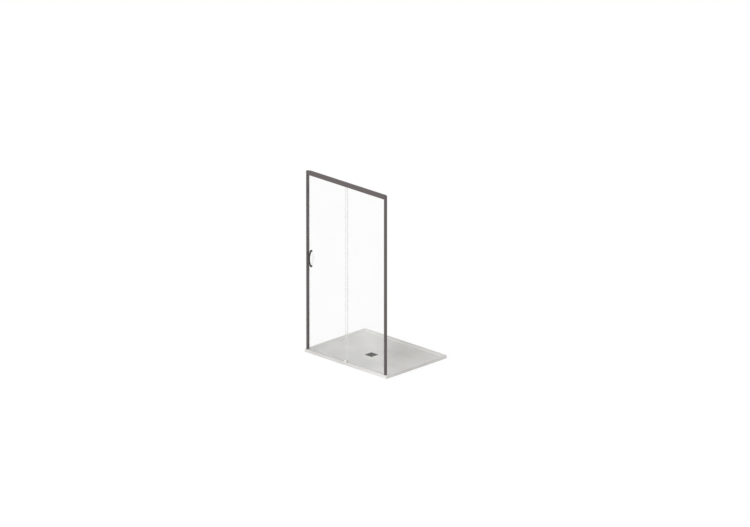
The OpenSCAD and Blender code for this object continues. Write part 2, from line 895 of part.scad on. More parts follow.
module rail_end_caps() {
    color(nylon_colour) for (x = [door_x0 + rail_short, door_x1 - rail_short + rail_cap_t])
        block([x - rail_cap_t, x], [rail_d0, rail_d1], [head_z + glass_up, head_z + rail_top]);
}

module hanger(x) {
    color(steel_colour) difference() {
        block(
            [x - hanger_l / 2, x + hanger_l / 2], [hanger_d0, hanger_d1],
            [head_z + rail_top, head_z + hanger_top]
        );
        hanger_bolt_holes();
        for (side = [-1, 1]) {
            bar_z(
                x + side * hanger_bolt_pitch / 2, door_mid, hanger_head_r + seat_fit,
                [head_z + hanger_top - hanger_head_t - seat_fit, head_z + header_h]
            );
            bar_y(
                x + side * roller_pitch / 2, head_z + roller_up, pin_r + pin_fit,
                [hanger_d0 - over, hanger_d1 + over]
            );
        }
    }
}

module hanger_left() {
    hanger(hanger_xs[0]);
}

module hanger_right() {
    hanger(hanger_xs[1]);
}

module hanger_bolts() {
    z = head_z + hanger_top;
    color(steel_colour) for (x = hanger_xs, side = [-1, 1]) {
        at = x + side * hanger_bolt_pitch / 2;
        bar_z(at, door_mid, hanger_bolt_r, [head_z + glass_up + clip_fit, z - hanger_head_t]);
        bar_z(at, door_mid, hanger_head_r, [z - hanger_head_t, z]);
    }
}

module anti_lift_pads() {
    color(nylon_colour) for (x = hanger_xs) block(
        [x - pad_l / 2, x + pad_l / 2], [hanger_d0, hanger_d1],
        [head_z + hanger_top, head_z + hanger_top + pad_h]
    );
}

module roller_pins() {
    color(steel_colour) for (x = roller_xs) {
        bar_y(x, head_z + roller_up, pin_r, [hanger_d0, pin_head_d]);
        bar_y(x, head_z + roller_up, pin_head_r, [pin_head_d, pin_head_d + pin_head_t]);
    }
}

module roller_spacers() {
    d = [hanger_d1, roller_d0 - roller_side];
    color(steel_colour) for (x = roller_xs) difference() {
        bar_y(x, head_z + roller_up, spacer_r, d);
        bar_y(x, head_z + roller_up, pin_r + pin_fit, [d[0] - over, d[1] + over]);
    }
}

// A ring turned about a roller's pin, from a section in radius and depth
module turned(i) {
    translate([roller_xs[i], front_y, head_z + roller_up])
        rotate([-90, 0, 0]) rotate_extrude() children();
}

module roller_tyre(i) {
    root_r = roller_r - groove_h;
    groove_r = bead_r + groove_fit;
    color(nylon_colour) turned(i) difference() {
        patch([bearing_r + pin_fit, roller_r], [roller_d0, roller_d1]);
        translate([root_r + groove_r, roller_mid]) circle(groove_r);
    }
}

module roller_bearing(i) {
    bore_r = pin_r + pin_fit;
    shield = 0.4;
    race = 1;
    color(steel_colour) turned(i) difference() {
        patch([bore_r, bearing_r], [roller_d0, roller_d1]);
        patch([bore_r + race, bearing_r - race], [roller_d0 - over, roller_d0 + shield]);
        patch([bore_r + race, bearing_r - race], [roller_d1 - shield, roller_d1 + over]);
    }
}

module door_magnet_seal() {
    z = [tray_h + door_lift, head_z + over];
    color(seal_colour) {
        edge_clip(door_x0, -1, [door_d0, door_d1], z);
        block(
            [strike_x + wipe_gap, door_x0 - clip_web],
            [door_mid - magnet_w / 2, door_mid + magnet_w / 2], z
        );
    }
}

module door_trailing_seal() {
    clear_z = tray_h + guide_h + over;
    color(seal_colour) {
        edge_clip(door_x1, 1, [door_d0, door_d1], [tray_h + door_lift, head_z + over]);
        block(
            [door_x1 + clip_web - lip_t, door_x1 + clip_web],
            [fixed_d1 + wipe_gap, door_d0 - clip_fit], [clear_z, head_z - over]
        );
    }
}

module door_sweep() {
    legs = [door_d0 - clip_fit - clip_t, door_d1 + clip_fit + clip_t];
    base = door_lift - clip_fit;
    x = [door_x0 + clip_leg + clip_fit, door_x1 - clip_leg - clip_fit];
    color(seal_colour) drawn_x(x, tray_h) {
        patch([legs[0], legs[0] + clip_t], [base - clip_web, base + sweep_leg]);
        patch([legs[1] - clip_t, legs[1]], [base - clip_web, base + sweep_leg]);
        patch(legs, [base - clip_web, base]);
        patch([door_mid - fin_t / 2, door_mid + fin_t / 2], [sweep_gap, base]);
    }
}

// Handle

// The bow's middle line meets the rosettes' face at the two fixings
rosette_d = door_d0 - washer_t - rosette_t;
bow_rise = handle_reach - bow_t / 2 - washer_t - rosette_t;
bow_r = (pow(handle_pitch / 2, 2) + pow(bow_rise, 2)) / (2 * bow_rise);
bow_centre_d = rosette_d - bow_rise + bow_r;
bow_half = acos((bow_centre_d - rosette_d) / (bow_r + bow_t / 2)) + 1;
bolt_d0 = bow_centre_d - sqrt(pow(bow_r + bow_t / 2, 2) - pow(handle_pitch / 2 + bolt_r, 2))
    + bow_skin;
disc_d1 = door_d1 + washer_t + disc_t;

module bow_section() {
    w = bow_w / 2 - bow_round;
    t = bow_t / 2 - bow_round;
    patch([bow_r - bow_t / 2, bow_r + bow_t / 2], [-w, w]);
    patch([bow_r - t, bow_r + t], [-bow_w / 2, bow_w / 2]);
    for (r = [-t, t], x = [-w, w]) translate([bow_r + r, x])
        circle(bow_round, $fn = 32);
}

// An arc that is cut flat where it stands on the rosettes
module handle_bow() {
    color(dark_colour) difference() {
        translate([handle_x, front_y + bow_centre_d, handle_z])
            rotate([0, -90, 0]) rotate([0, 0, -90 - bow_half])
                rotate_extrude(angle = 2 * bow_half, $fn = 360) bow_section();
        block(
            [handle_x - bow_w, handle_x + bow_w], [rosette_d, door_d0 + bow_t],
            [handle_z - handle_pitch, handle_z + handle_pitch]
        );
        for (z = handle_zs)
            bar_y(handle_x, z, bolt_r + seat_fit, [bolt_d0 - seat_fit, rosette_d + over]);
    }
}

// A flat ring round each of the handle's two bolts
module bolt_rings(r, d) {
    for (z = handle_zs) difference() {
        bar_y(handle_x, z, r, d);
        bar_y(handle_x, z, bolt_r + seat_fit, [d[0] - over, d[1] + over]);
    }
}

module handle_rosettes() {
    color(dark_colour)
        bolt_rings(rosette_r, [rosette_d, door_d0 - washer_t]);
}

module handle_washers() {
    color(seal_colour) {
        bolt_rings(rosette_r, [door_d0 - washer_t, door_d0]);
        bolt_rings(rosette_r, [door_d1, door_d1 + washer_t]);
    }
}

module handle_bushes() {
    color(nylon_colour) bolt_rings(glass_hole_r - bush_fit, [door_d0, door_d1]);
}

module handle_inner_discs() {
    color(dark_colour) difference() {
        bolt_rings(rosette_r, [door_d1 + washer_t, disc_d1]);
        for (z = handle_zs) bar_y(
            handle_x, z, bolt_head_r + seat_fit, [disc_d1 - bolt_head_t, disc_d1 + over]
        );
    }
}

module handle_bolts() {
    color(steel_colour) for (z = handle_zs) {
        bar_y(handle_x, z, bolt_r, [bolt_d0, disc_d1 - bolt_head_t]);
        difference() {
            bar_y(handle_x, z, bolt_head_r, [disc_d1 - bolt_head_t, disc_d1]);
            translate([handle_x, front_y + disc_d1 - socket_t, z])
                rotate([-90, 0, 0]) cylinder(h = socket_t + over, r = bolt_r, $fn = 6);
        }
    }
}

shower_tray();
waste_sealing_ring();
waste_flange();
drain_cover();
cover_feet();
hair_strainer();
wall_channel_left();
wall_channel_right();
strike_post();
glazing_post();
post_cap_left();
post_cap_right();
lock_screws();
lock_screw_caps();
strike_seal();
header_rail();
header_plug_left();
header_plug_right();
header_screws();
door_stop_left();
door_stop_right();
stop_screws();
bumper_left();
bumper_right();
fixed_pane();
pane_gasket_top();
pane_gasket_side();
sill_seal();
overlap_seal();
threshold_strip();
bottom_guide();
guide_screws();
door_pane();
door_top_rail();
rail_end_caps();
hanger_left();
hanger_right();
hanger_bolts();
anti_lift_pads();
roller_pins();
roller_spacers();
door_magnet_seal();
door_trailing_seal();
door_sweep();
handle_bow();
handle_rosettes();
handle_washers();
handle_bushes();
handle_inner_discs();
handle_bolts();
roller_tyre(0);  // roller_tyre_1
roller_tyre(1);  // roller_tyre_2
roller_tyre(2);  // roller_tyre_3
roller_tyre(3);  // roller_tyre_4
roller_bearing(0);  // roller_bearing_1
roller_bearing(1);  // roller_bearing_2
roller_bearing(2);  // roller_bearing_3
roller_bearing(3);  // roller_bearing_4
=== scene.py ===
# %% [markdown]
# # A shower tray with a sliding screen
# This notebook dresses the exact CAD model of a slim shower tray and its two-pane screen. The CAD
# gives every profile, screw and roller its size and place, in metres, with Z up. Blender adds the
# soft edges, the glass, the cast mineral surface and the light. Each step has a few sentences and
# then one or more short cells. The CAD nodes come in selected, so the selection is cleared first.

# %% Load the frame
import json
import math

import bpy
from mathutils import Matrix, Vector


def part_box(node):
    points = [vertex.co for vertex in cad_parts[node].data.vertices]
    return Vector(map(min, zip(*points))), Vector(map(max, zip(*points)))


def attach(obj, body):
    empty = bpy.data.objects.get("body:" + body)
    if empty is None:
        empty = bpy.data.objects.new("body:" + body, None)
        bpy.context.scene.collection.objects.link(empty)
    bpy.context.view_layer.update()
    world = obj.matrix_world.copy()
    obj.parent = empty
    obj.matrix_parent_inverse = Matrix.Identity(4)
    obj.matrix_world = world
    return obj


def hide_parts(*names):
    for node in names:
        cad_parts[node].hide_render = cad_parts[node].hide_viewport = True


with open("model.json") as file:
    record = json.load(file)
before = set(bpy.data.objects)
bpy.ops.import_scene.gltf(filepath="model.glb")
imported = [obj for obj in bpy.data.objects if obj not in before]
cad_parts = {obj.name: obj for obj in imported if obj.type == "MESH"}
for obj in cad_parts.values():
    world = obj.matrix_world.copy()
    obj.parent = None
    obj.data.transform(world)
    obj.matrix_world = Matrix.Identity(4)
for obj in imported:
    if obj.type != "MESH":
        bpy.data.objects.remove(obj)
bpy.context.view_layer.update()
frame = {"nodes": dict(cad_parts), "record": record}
node = frame["nodes"]
bpy.ops.object.select_all(action="DESELECT")

# %% [markdown]
# ## Camera
# The picture is a parallel drawing, seen from the front right and from a little above. A camera
# with a very long lens, far away, draws nearly the same, and still reframes itself well when it
# is moved round the object. The turn, the height and the aim were fitted to the tray's corners
# and the posts.

# %% Where the camera stands
VIEW_TURN = math.radians(44.54)
VIEW_HEIGHT = math.radians(19.56)
VIEW_DISTANCE = 196.40
VIEW_AIM = Vector((-0.22996, 0.22375, 0.90276))
back = Vector((
    math.sin(VIEW_TURN) * math.cos(VIEW_HEIGHT),
    -math.cos(VIEW_TURN) * math.cos(VIEW_HEIGHT),
    math.sin(VIEW_HEIGHT),
))
print("towards the camera:", [round(c, 3) for c in back])

# %% Camera
LENS_MM = 900
SENSOR_MM = 36
NEAREST_SEEN = 10
FARTHEST_SEEN = 1000
bpy.ops.object.camera_add(location=VIEW_AIM + back * VIEW_DISTANCE)
camera = bpy.context.object
camera.name = "camera"
camera.rotation_euler = (-back).to_track_quat("-Z", "Y").to_euler()
camera.data.lens = LENS_MM
camera.data.sensor_width = SENSOR_MM
camera.data.clip_start = NEAREST_SEEN
camera.data.clip_end = FARTHEST_SEEN
bpy.context.scene.camera = camera
bpy.context.scene.view_settings.view_transform = "Standard"
print("camera at", [round(c, 2) for c in camera.location])

# %% [markdown]
# ## World
# A catalogue picture stands on plain white. A world bright enough for that would wash out the
# object. So it shows full white only to the camera, and to rays that were mirrored or came
# through glass, and the light that it really gives is lower. A colour then renders about as it is
# written. The Light Path node tells the rays apart, and small helpers build the nodes.

# %% Helpers for nodes
def feed(tree, socket, value):
    """Gives a socket a plain number, or links it to the output of another node."""
    if isinstance(value, (int, float)):
        socket.default_value = value
    else:
        tree.links.new(value, socket)


def maths(tree, operation, *values):
    """The result of a Math node on values, each a number or another node's output."""
    made = tree.nodes.new("ShaderNodeMath")
    made.operation = operation
    for socket, value in zip(made.inputs, values):
        feed(tree, socket, value)
    return made.outputs["Value"]


def value_range(tree, value, low, high, source=(0, 1)):
    """Maps a value from the source range to the range from low to high."""
    made = tree.nodes.new("ShaderNodeMapRange")
    made.inputs["From Min"].default_value = source[0]
    made.inputs["From Max"].default_value = source[1]
    made.inputs["To Min"].default_value = low
    made.inputs["To Max"].default_value = high
    tree.links.new(value, made.inputs["Value"])
    return made.outputs["Result"]


print("node helpers ready")


# %% World
def seen_strength(tree, plain, seen):
    """A value that is `seen` to camera, mirrored and glass rays, and `plain` to all others."""
    path = tree.nodes.new("ShaderNodeLightPath")
    direct = maths(tree, "MAXIMUM", path.outputs["Is Camera Ray"], path.outputs["Is Glossy Ray"])
    either = maths(tree, "MAXIMUM", direct, path.outputs["Is Transmission Ray"])
    return value_range(tree, either, plain, seen)


WHITE = (1, 1, 1, 1)
SKY_LIGHT = 0.72
SKY_SEEN = 1.0
world = bpy.data.worlds.new("studio")
world.use_nodes = True
sky = world.node_tree.nodes["Background"]
sky.inputs["Color"].default_value = WHITE
sky_strength = seen_strength(world.node_tree, SKY_LIGHT, SKY_SEEN)
world.node_tree.links.new(sky_strength, sky.inputs["Strength"])
bpy.context.scene.world = world
print("the world gives", SKY_LIGHT, "and shows as", SKY_SEEN)

# %% [markdown]
# ## Floor
# The floor is one large plane, a hair under the tray so that the two don't share a plane. A plain
# white one would come out grey, and one that only glows would take no shadow. So a part of its
# brightness is its own and the rest is the light that falls on it, and it still takes a faint
# shadow of the object.

# %% Floor
FLOOR_SIZE = 80
FLOOR_GAP = 0.0005
bpy.ops.mesh.primitive_plane_add(size=FLOOR_SIZE, location=(0, 0, -FLOOR_GAP))
floor = bpy.context.object
floor.name = "floor"
print("floor", FLOOR_SIZE, "m wide")

# %% Floor paint
FLOOR_TAKEN = 0.3
FLOOR_GIVEN = 0.42
FLOOR_SEEN = 0.737
paint = bpy.data.materials.new("studio_floor")
paint.use_nodes = True
tree = paint.node_tree
tree.nodes.remove(tree.nodes["Principled BSDF"])
matte = tree.nodes.new("ShaderNodeBsdfDiffuse")
matte.inputs["Color"].default_value = (FLOOR_TAKEN, FLOOR_TAKEN, FLOOR_TAKEN, 1)
glow = tree.nodes.new("ShaderNodeEmission")
tree.links.new(seen_strength(tree, FLOOR_GIVEN, FLOOR_SEEN), glow.inputs["Strength"])
both = tree.nodes.new("ShaderNodeAddShader")
tree.links.new(matte.outputs[0], both.inputs[0])
tree.links.new(glow.outputs[0], both.inputs[1])
tree.links.new(both.outputs[0], tree.nodes["Material Output"].inputs["Surface"])
floor.data.materials.append(paint)
print("the floor's own glow is", FLOOR_GIVEN, "as light and", FLOOR_SEEN, "to the camera")

# %% [markdown]
# ## Lamp
# Soft studio light comes from large panels. One sun lamp with a very wide angle gives the same
# soft shadows, and its light doesn't fall off along the object. It stands low in front of the
# screen. That makes the front faces the lightest, the tops a shade darker, and the ends darker
# still.

# %% Lamp
LAMP_FROM = Vector((0.12, -0.93, 0.33))
LAMP_AWAY = 6
LAMP_POWER = 1.62
LAMP_SPREAD = math.radians(70)
bpy.ops.object.light_add(type="SUN", location=LAMP_FROM * LAMP_AWAY)
lamp = bpy.context.object
lamp.name = "soft_lamp"
lamp.rotation_euler = LAMP_FROM.to_track_quat("Z", "Y").to_euler()
lamp.data.energy = LAMP_POWER
lamp.data.angle = LAMP_SPREAD
print("lamp from", [round(c, 2) for c in LAMP_FROM.normalized()])

# %% [markdown]
# ## Shared effects
# Real surfaces are never one flat number. Two effects repeat over the whole object: the drawn
# lines of an extruded profile, and the mottled grain of a cast or moulded surface. Each could be
# built again in every material, but then a change would have to be made in all of them. So each
# is a node group with named inputs, built once and placed in every material with its own values.
# It gives only a colour, a roughness and a height, and the shader itself stays in the material.

# %% Start a group
NUMBER = "NodeSocketFloat"
COLOUR = "NodeSocketColor"
PLACE = "NodeSocketVector"


def socket_name(word):
    """The name of a socket for the name of a value, such as Patch Scale for patch_scale."""
    return word.replace("_", " ").title()


def group(name, **numbers):
    """A group that takes a place, a colour and named numbers, and its input and output nodes."""
    made = bpy.data.node_groups.new(name, "ShaderNodeTree")
    made.interface.new_socket("Vector", in_out="INPUT", socket_type=PLACE)
    made.interface.new_socket("Color", in_out="INPUT", socket_type=COLOUR)
    for word, value in numbers.items():
        socket = made.interface.new_socket(
            socket_name(word), in_out="INPUT", socket_type=NUMBER
        )
        socket.default_value = value
    for label, kind in (("Color", COLOUR), ("Roughness", NUMBER), ("Height", NUMBER)):
        made.interface.new_socket(label, in_out="OUTPUT", socket_type=kind)
    print("group", name, "takes", [socket_name(word) for word in numbers])
    return made, made.nodes.new("NodeGroupInput"), made.nodes.new("NodeGroupOutput")


# %% Noise, and the tone that it gives
NOISE_SPAN = (0.3, 0.7)


def noise(tree, vector, scale, detail):
    """A noise value. The scale is a number or another node's output."""
    made = tree.nodes.new("ShaderNodeTexNoise")
    made.inputs["Detail"].default_value = detail
    feed(tree, made.inputs["Scale"], scale)
    tree.links.new(vector, made.inputs["Vector"])
    return made.outputs["Fac"]


def add_tone(tree, value, contrast, tone):
    """Adds a noise to a tone of about 1, as strongly as the contrast says."""
    swing = value_range(tree, value, -1, 1, NOISE_SPAN)
    return maths(tree, "MULTIPLY_ADD", swing, contrast, tone)


print("a noise runs from about", NOISE_SPAN[0], "to", NOISE_SPAN[1])


# %% End a group
def shade(tree, colour, factor):
    """A colour times a value."""
    made = tree.nodes.new("ShaderNodeVectorMath")
    made.operation = "SCALE"
    tree.links.new(colour, made.inputs[0])
    tree.links.new(factor, made.inputs["Scale"])
    return made.outputs["Vector"]


def end_group(tree, taken, given, tone, fine, swing):
    """Ends a group with its toned colour, a roughness that swings with the noise, and a height."""
    around_one = value_range(tree, fine, 1 - swing, 1 + swing, NOISE_SPAN)
    rough = maths(tree, "MULTIPLY", taken.outputs["Roughness"], around_one)
    tree.links.new(shade(tree, taken.outputs["Color"], tone), given.inputs["Color"])
    tree.links.new(rough, given.inputs["Roughness"])
    tree.links.new(fine, given.inputs["Height"])
    print("group", tree.name, "has", len(tree.nodes), "nodes")


# %% [markdown]
# ## Drawn lines
# Extruded aluminium has faint lines along its length, drawn by the die. They could be a wave
# texture, but that repeats too evenly. Noise doesn't, and the material's Mapping node stretches
# it along the profile before it comes in here.

# %% Drawn lines
LINE_SCALE = 1.0
LINE_DETAIL = 3.0
LINE_ROUGHNESS_SWING = 0.15
lines, lines_in, lines_out = group("drawn_lines", contrast=0.06, roughness=0.35)
streaks = noise(lines, lines_in.outputs["Vector"], LINE_SCALE, LINE_DETAIL)
tone = add_tone(lines, streaks, lines_in.outputs["Contrast"], 1)
end_group(lines, lines_in, lines_out, tone, streaks, LINE_ROUGHNESS_SWING)

# %% [markdown]
# ## Cast grain
# Cast mineral, moulded nylon and rubber have soft patches of tone and a fine grain over them. One
# noise with much detail would tie the two together. Two noises of their own scale and contrast
# let each material choose how large its patches are and how strong its grain is.

# %% Cast grain
PATCH_DETAIL = 4.0
GRAIN_DETAIL = 2.0
GRAIN_ROUGHNESS_SWING = 0.1
grain, grain_in, grain_out = group(
    "cast_grain", patch_scale=12.0, patch_contrast=0.03, grain_scale=700.0, grain_contrast=0.03,
    roughness=0.5,
)
where = grain_in.outputs["Vector"]
patches = noise(grain, where, grain_in.outputs["Patch Scale"], PATCH_DETAIL)
grains = noise(grain, where, grain_in.outputs["Grain Scale"], GRAIN_DETAIL)
tone = add_tone(grain, patches, grain_in.outputs["Patch Contrast"], 1)
tone = add_tone(grain, grains, grain_in.outputs["Grain Contrast"], tone)
end_group(grain, grain_in, grain_out, tone, grains, GRAIN_ROUGHNESS_SWING)

# %% [markdown]
# ## Finishes
# A finish starts from a Principled shader. What is the same all over is set on the shader, and
# what changes over the surface comes from one of the groups, placed by Object coordinates, which
# are metres here. So a grain of a millimetre needs a scale of about a thousand.

# %% Place and bump
BUMP_HEIGHT = 0.0005


def placed(tree, stretch, shift):
    """The piece's own coordinates, stretched and shifted."""
    place = tree.nodes.new("ShaderNodeTexCoord")
    mapping = tree.nodes.new("ShaderNodeMapping")
    mapping.inputs["Scale"].default_value = stretch
    mapping.inputs["Location"].default_value = shift
    tree.links.new(place.outputs["Object"], mapping.inputs["Vector"])
    return mapping.outputs["Vector"]


def add_bump(tree, shader, height, strength):
    """Lets a height tilt the surface of a shader a little."""
    raised = tree.nodes.new("ShaderNodeBump")
    raised.inputs["Strength"].default_value = strength
    raised.inputs["Distance"].default_value = BUMP_HEIGHT
    tree.links.new(height, raised.inputs["Height"])
    tree.links.new(raised.outputs["Normal"], shader.inputs["Normal"])


print("a bump is up to", BUMP_HEIGHT, "m high")


# %% A finish from a group
def finish(
    name, effect, colour, stretch=(1, 1, 1), shift=(0, 0, 0), bump=0.0, metallic=0.0, gloss=0.5,
    **values,
):
    """A material with one effect group in front of its Principled shader."""
    made = bpy.data.materials.new(name)
    made.use_nodes = True
    tree = made.node_tree
    shader = tree.nodes["Principled BSDF"]
    used = tree.nodes.new("ShaderNodeGroup")
    used.node_tree = effect
    used.inputs["Color"].default_value = (*colour, 1)
    for word, value in values.items():
        used.inputs[socket_name(word)].default_value = value
    tree.links.new(placed(tree, stretch, shift), used.inputs["Vector"])
    tree.links.new(used.outputs["Color"], shader.inputs["Base Color"])
    tree.links.new(used.outputs["Roughness"], shader.inputs["Roughness"])
    shader.inputs["Metallic"].default_value = metallic
    shader.inputs["Specular IOR Level"].default_value = gloss
    if bump:
        add_bump(tree, shader, used.outputs["Height"], bump)
    print("finish", name, "from", effect.name)
    return made


print("finishes can use", [effect.name for effect in bpy.data.node_groups])

# %% [markdown]
# ## Mineral casting
# Trays like this are stone powder in resin, poured into a mould: off-white, matt and a little
# mottled. A photograph of stone would be the quick way, but it shows its seams and can't be
# tuned, so noise gives both the soft patches and the fine grain. The shift moves the patches, so
# that the darkest lies at the middle of the back as in the picture. The patches are strong: the
# dark one is painted shade, and the basin behind the glass is painted a shade lighter.

# %% Mineral casting
CAST_WHITE = (0.644, 0.632, 0.612)
# The shift and the strong patch contrast paint shade at the middle of the back, and paint the
# basin lighter behind the glass.
SHADE_PATCH_SHIFT = (11.09, 26.89, 0)
casting = finish(
    "mineral_casting", grain, CAST_WHITE, shift=SHADE_PATCH_SHIFT, bump=0.12, gloss=0.3,
    patch_scale=1.6, patch_contrast=0.19, grain_scale=650.0, grain_contrast=0.03, roughness=0.6,
)

# %% [markdown]
# ## Aluminium profiles
# The frame is extruded aluminium, anodised in a matt warm grey. Anodising hides most of the
# metal's shine but not the lines along it. Noise runs evenly in all directions, so its scale is
# made small along the profile and large across it. A rail and a post lie differently, and so
# there are two copies of the finish that differ only in the way the lines run.

# %% Aluminium profiles
FRAME_GREY = (0.138, 0.120, 0.122)
ALONG_X = (6, 1400, 1400)
ALONG_Z = (1400, 1400, 6)


def profile_finish(name, direction):
    """The frame's anodised grey, with its lines along one direction."""
    return finish(
        name, lines, FRAME_GREY, direction, bump=0.05, metallic=0.25, gloss=0.12, contrast=0.05,
        roughness=0.55,
    )


profile_across = profile_finish("anodised_profile_across", ALONG_X)
profile_upright = profile_finish("anodised_profile_upright", ALONG_Z)

# %% [markdown]
# ## Handle and cover
# The handle has the same anodising in a darker and glossier tone. The drain cover is coated
# steel. A coat buries the lines of the metal, so the cover takes the cast grain, made very fine,
# with hardly any gloss, instead of a third effect of its own.

# %% Handle and cover
HANDLE_GREY = (0.05, 0.044, 0.045)
COVER_BLACK = (0.014, 0.012, 0.013)
grip_metal = finish(
    "anodised_grip", lines, HANDLE_GREY, ALONG_Z, bump=0.04, metallic=0.4, gloss=0.4,
    contrast=0.06, roughness=0.4,
)
cover_metal = finish(
    "coated_cover", grain, COVER_BLACK, bump=0.06, gloss=0.02, patch_scale=40.0,
    patch_contrast=0.05, grain_scale=2500.0, grain_contrast=0.08, roughness=0.6,
)

# %% [markdown]
# ## Steel, nylon and rubber
# Screws, pins, hangers and the waste are stainless steel, plugs and tyres are moulded nylon, and
# gaskets, bumpers and feet are rubber. One dark plastic could serve for all that is so small, but
# up close they differ: steel is bright with drawn lines, nylon has a slight sheen, and rubber is
# dull with a stronger grain.

# %% Steel, nylon and rubber
STEEL = (0.52, 0.52, 0.53)
NYLON_BLACK = (0.05, 0.05, 0.052)
RUBBER_BLACK = (0.022, 0.022, 0.023)
steel = finish(
    "stainless_steel", lines, STEEL, ALONG_X, bump=0.05, metallic=1.0, contrast=0.08,
    roughness=0.3,
)
nylon = finish(
    "moulded_nylon", grain, NYLON_BLACK, bump=0.1, patch_scale=60.0, patch_contrast=0.06,
    grain_scale=3000.0, grain_contrast=0.1, roughness=0.48,
)
rubber = finish(
    "soft_rubber", grain, RUBBER_BLACK, bump=0.15, patch_scale=80.0, patch_contrast=0.1,
    grain_scale=3500.0, grain_contrast=0.15, roughness=0.75,
)

# %% [markdown]
# ## Seal plastic
# The seals are clear soft plastic, and next to glass one hardly sees them. They could bend light
# as the glass does, but their thin lips would then show as dark lines. So most of what is behind
# them simply shows through.

# %% Seal plastic
SEAL_TINT = (0.78, 0.79, 0.79)
SEAL_COVER = 0.08
seal_plastic = finish(
    "clear_seal_plastic", grain, SEAL_TINT, gloss=0.3, patch_scale=30.0, patch_contrast=0.03,
    grain_scale=1500.0, grain_contrast=0.02, roughness=0.28,
)
seal_plastic.node_tree.nodes["Principled BSDF"].inputs["Alpha"].default_value = SEAL_COVER
print("the seals cover", SEAL_COVER, "of what is behind them")

# %% [markdown]
# ## Guide plastic
# The door's bottom guide is a hard block that takes the wear of the sliding pane. A clear one
# would show its two screws as dark spots, so it is milky, in the tone of the tray.

# %% Guide plastic
GUIDE_MILK = (0.70, 0.69, 0.67)
guide_plastic = finish(
    "milky_guide_plastic", grain, GUIDE_MILK, gloss=0.35, bump=0.05, patch_scale=50.0,
    patch_contrast=0.03, grain_scale=2000.0, grain_contrast=0.02, roughness=0.4,
)

# %% [markdown]
# ## Glass
# The panes could be drawn as a plain see-through film, but then they would have no thickness and
# no sheen. So the glass is real glass: light bends in and out of it. The picture shows the panes
# with a faint white veil, and a small share of plain white in the shader gives that. Cycles
# doesn't send lamp light through bending glass, so for shadow and diffuse rays alone the glass is
# a film. The narrow faces are ground: milky, rough and hardly see-through.

# %% A glass finish
GLASS_INDEX = 1.5
FILM_TINT = (0.97, 0.98, 0.975, 1)


def glass(name, colour, through, roughness=0.0):
    """Glass that bends what is seen through it, and lets lamps shine through as a film does."""
    made = finish(
        name, grain, colour, patch_scale=3.0, patch_contrast=0.008, grain_scale=60.0,
        grain_contrast=0.004, roughness=roughness,
    )
    tree = made.node_tree
    shader = tree.nodes["Principled BSDF"]
    shader.inputs["IOR"].default_value = GLASS_INDEX
    shader.inputs["Transmission Weight"].default_value = through
    film = tree.nodes.new("ShaderNodeBsdfTransparent")
    film.inputs["Color"].default_value = FILM_TINT
    path = tree.nodes.new("ShaderNodeLightPath")
    lit = maths(tree, "MAXIMUM", path.outputs["Is Shadow Ray"], path.outputs["Is Diffuse Ray"])
    mix = tree.nodes.new("ShaderNodeMixShader")
    tree.links.new(lit, mix.inputs["Fac"])
    tree.links.new(shader.outputs[0], mix.inputs[1])
    tree.links.new(film.outputs[0], mix.inputs[2])
    tree.links.new(mix.outputs[0], tree.nodes["Material Output"].inputs["Surface"])
    return made


print("glass bends light with an index of", GLASS_INDEX)

# %% Clear and ground glass
GLASS_TINT = (0.962, 0.963, 0.961)
GROUND_TINT = (0.97, 0.975, 0.97)
pane_glass = glass("clear_glass", GLASS_TINT, through=0.985)
arris_glass = glass("ground_edge", GROUND_TINT, through=0.1, roughness=0.3)

# %% [markdown]
# ## Finishes for the CAD pieces
# The CAD pieces that have the right shape stay as they are. Each could be dressed by name, but
# the record already gives it a slot, so each slot gets one finish. The two rails then get the
# finish whose lines run across, and the guide gets its milky plastic.

# %% Hand out the finishes
slot_finish = {
    "mineral_cast": casting, "clear_glass": pane_glass, "clear_seal": seal_plastic,
    "black_rubber": rubber, "nylon": nylon, "stainless": steel, "dark_handle": grip_metal,
    "dark_cover": cover_metal, "anodised_frame": profile_upright,
}
slot_of = {entry["node"]: entry["material_slot"] for entry in frame["record"]["subparts"]}
for name, piece in node.items():
    piece.data.materials.clear()
    piece.data.materials.append(slot_finish[slot_of[name]])
for name in ("header_rail", "door_top_rail"):
    node[name].data.materials[0] = profile_across
node["bottom_guide"].data.materials[0] = guide_plastic
print("dressed", len(node), "nodes")

# %% [markdown]
# ## The tray
# A cast tray has no sharp edge: the mould needs a soft rim, and feet need a soft step. It could
# be a block with a pocket cut into it and bevelled, but a bevel can't dish the floor. So it is
# lofted from rings, each a rounded rectangle with the same number of points, from the underside
# up over the rim and down through the basin to the waste. The bore is round, so its rings are
# circles with as many points. An operator works on whatever is selected, as the hand does in the
# window, and so each step first clears the selection and picks what it works on.

# %% Helpers for selecting
def pick(piece):
    """Leaves one object selected and active."""
    bpy.ops.object.select_all(action="DESELECT")
    piece.select_set(True)
    bpy.context.view_layer.objects.active = piece


def edit_points(piece, chosen):
    """Opens a piece in edit mode, with all its points chosen or none."""
    pick(piece)
    bpy.ops.object.mode_set(mode="EDIT")
    bpy.ops.mesh.select_mode(type="VERT")
    bpy.ops.mesh.select_all(action="SELECT" if chosen else "DESELECT")


print("selected now:", len(bpy.context.selected_objects))

# %% One ring
CORNER_STEPS = 8
RING_POINTS = 4 * (CORNER_STEPS + 1)


def ring(label, half_x, half_y, radius, z, middle):
    """A rounded rectangle of edges, with its points in a vertex group of its own."""
    bpy.ops.object.select_all(action="DESELECT")
    bpy.ops.mesh.primitive_plane_add(size=2, location=(*middle, z))
    made = bpy.context.object
    made.scale = (half_x, half_y, 1)
    bpy.ops.object.transform_apply(location=True, scale=True)
    edit_points(made, True)
    bpy.ops.mesh.bevel(
        offset=radius, offset_type="OFFSET", segments=CORNER_STEPS, affect="VERTICES"
    )
    bpy.ops.mesh.select_all(action="SELECT")
    bpy.ops.mesh.delete(type="ONLY_FACE")
    bpy.ops.object.mode_set(mode="OBJECT")
    made.vertex_groups.new(name=label).add(range(len(made.data.vertices)), 1, "REPLACE")
    return made


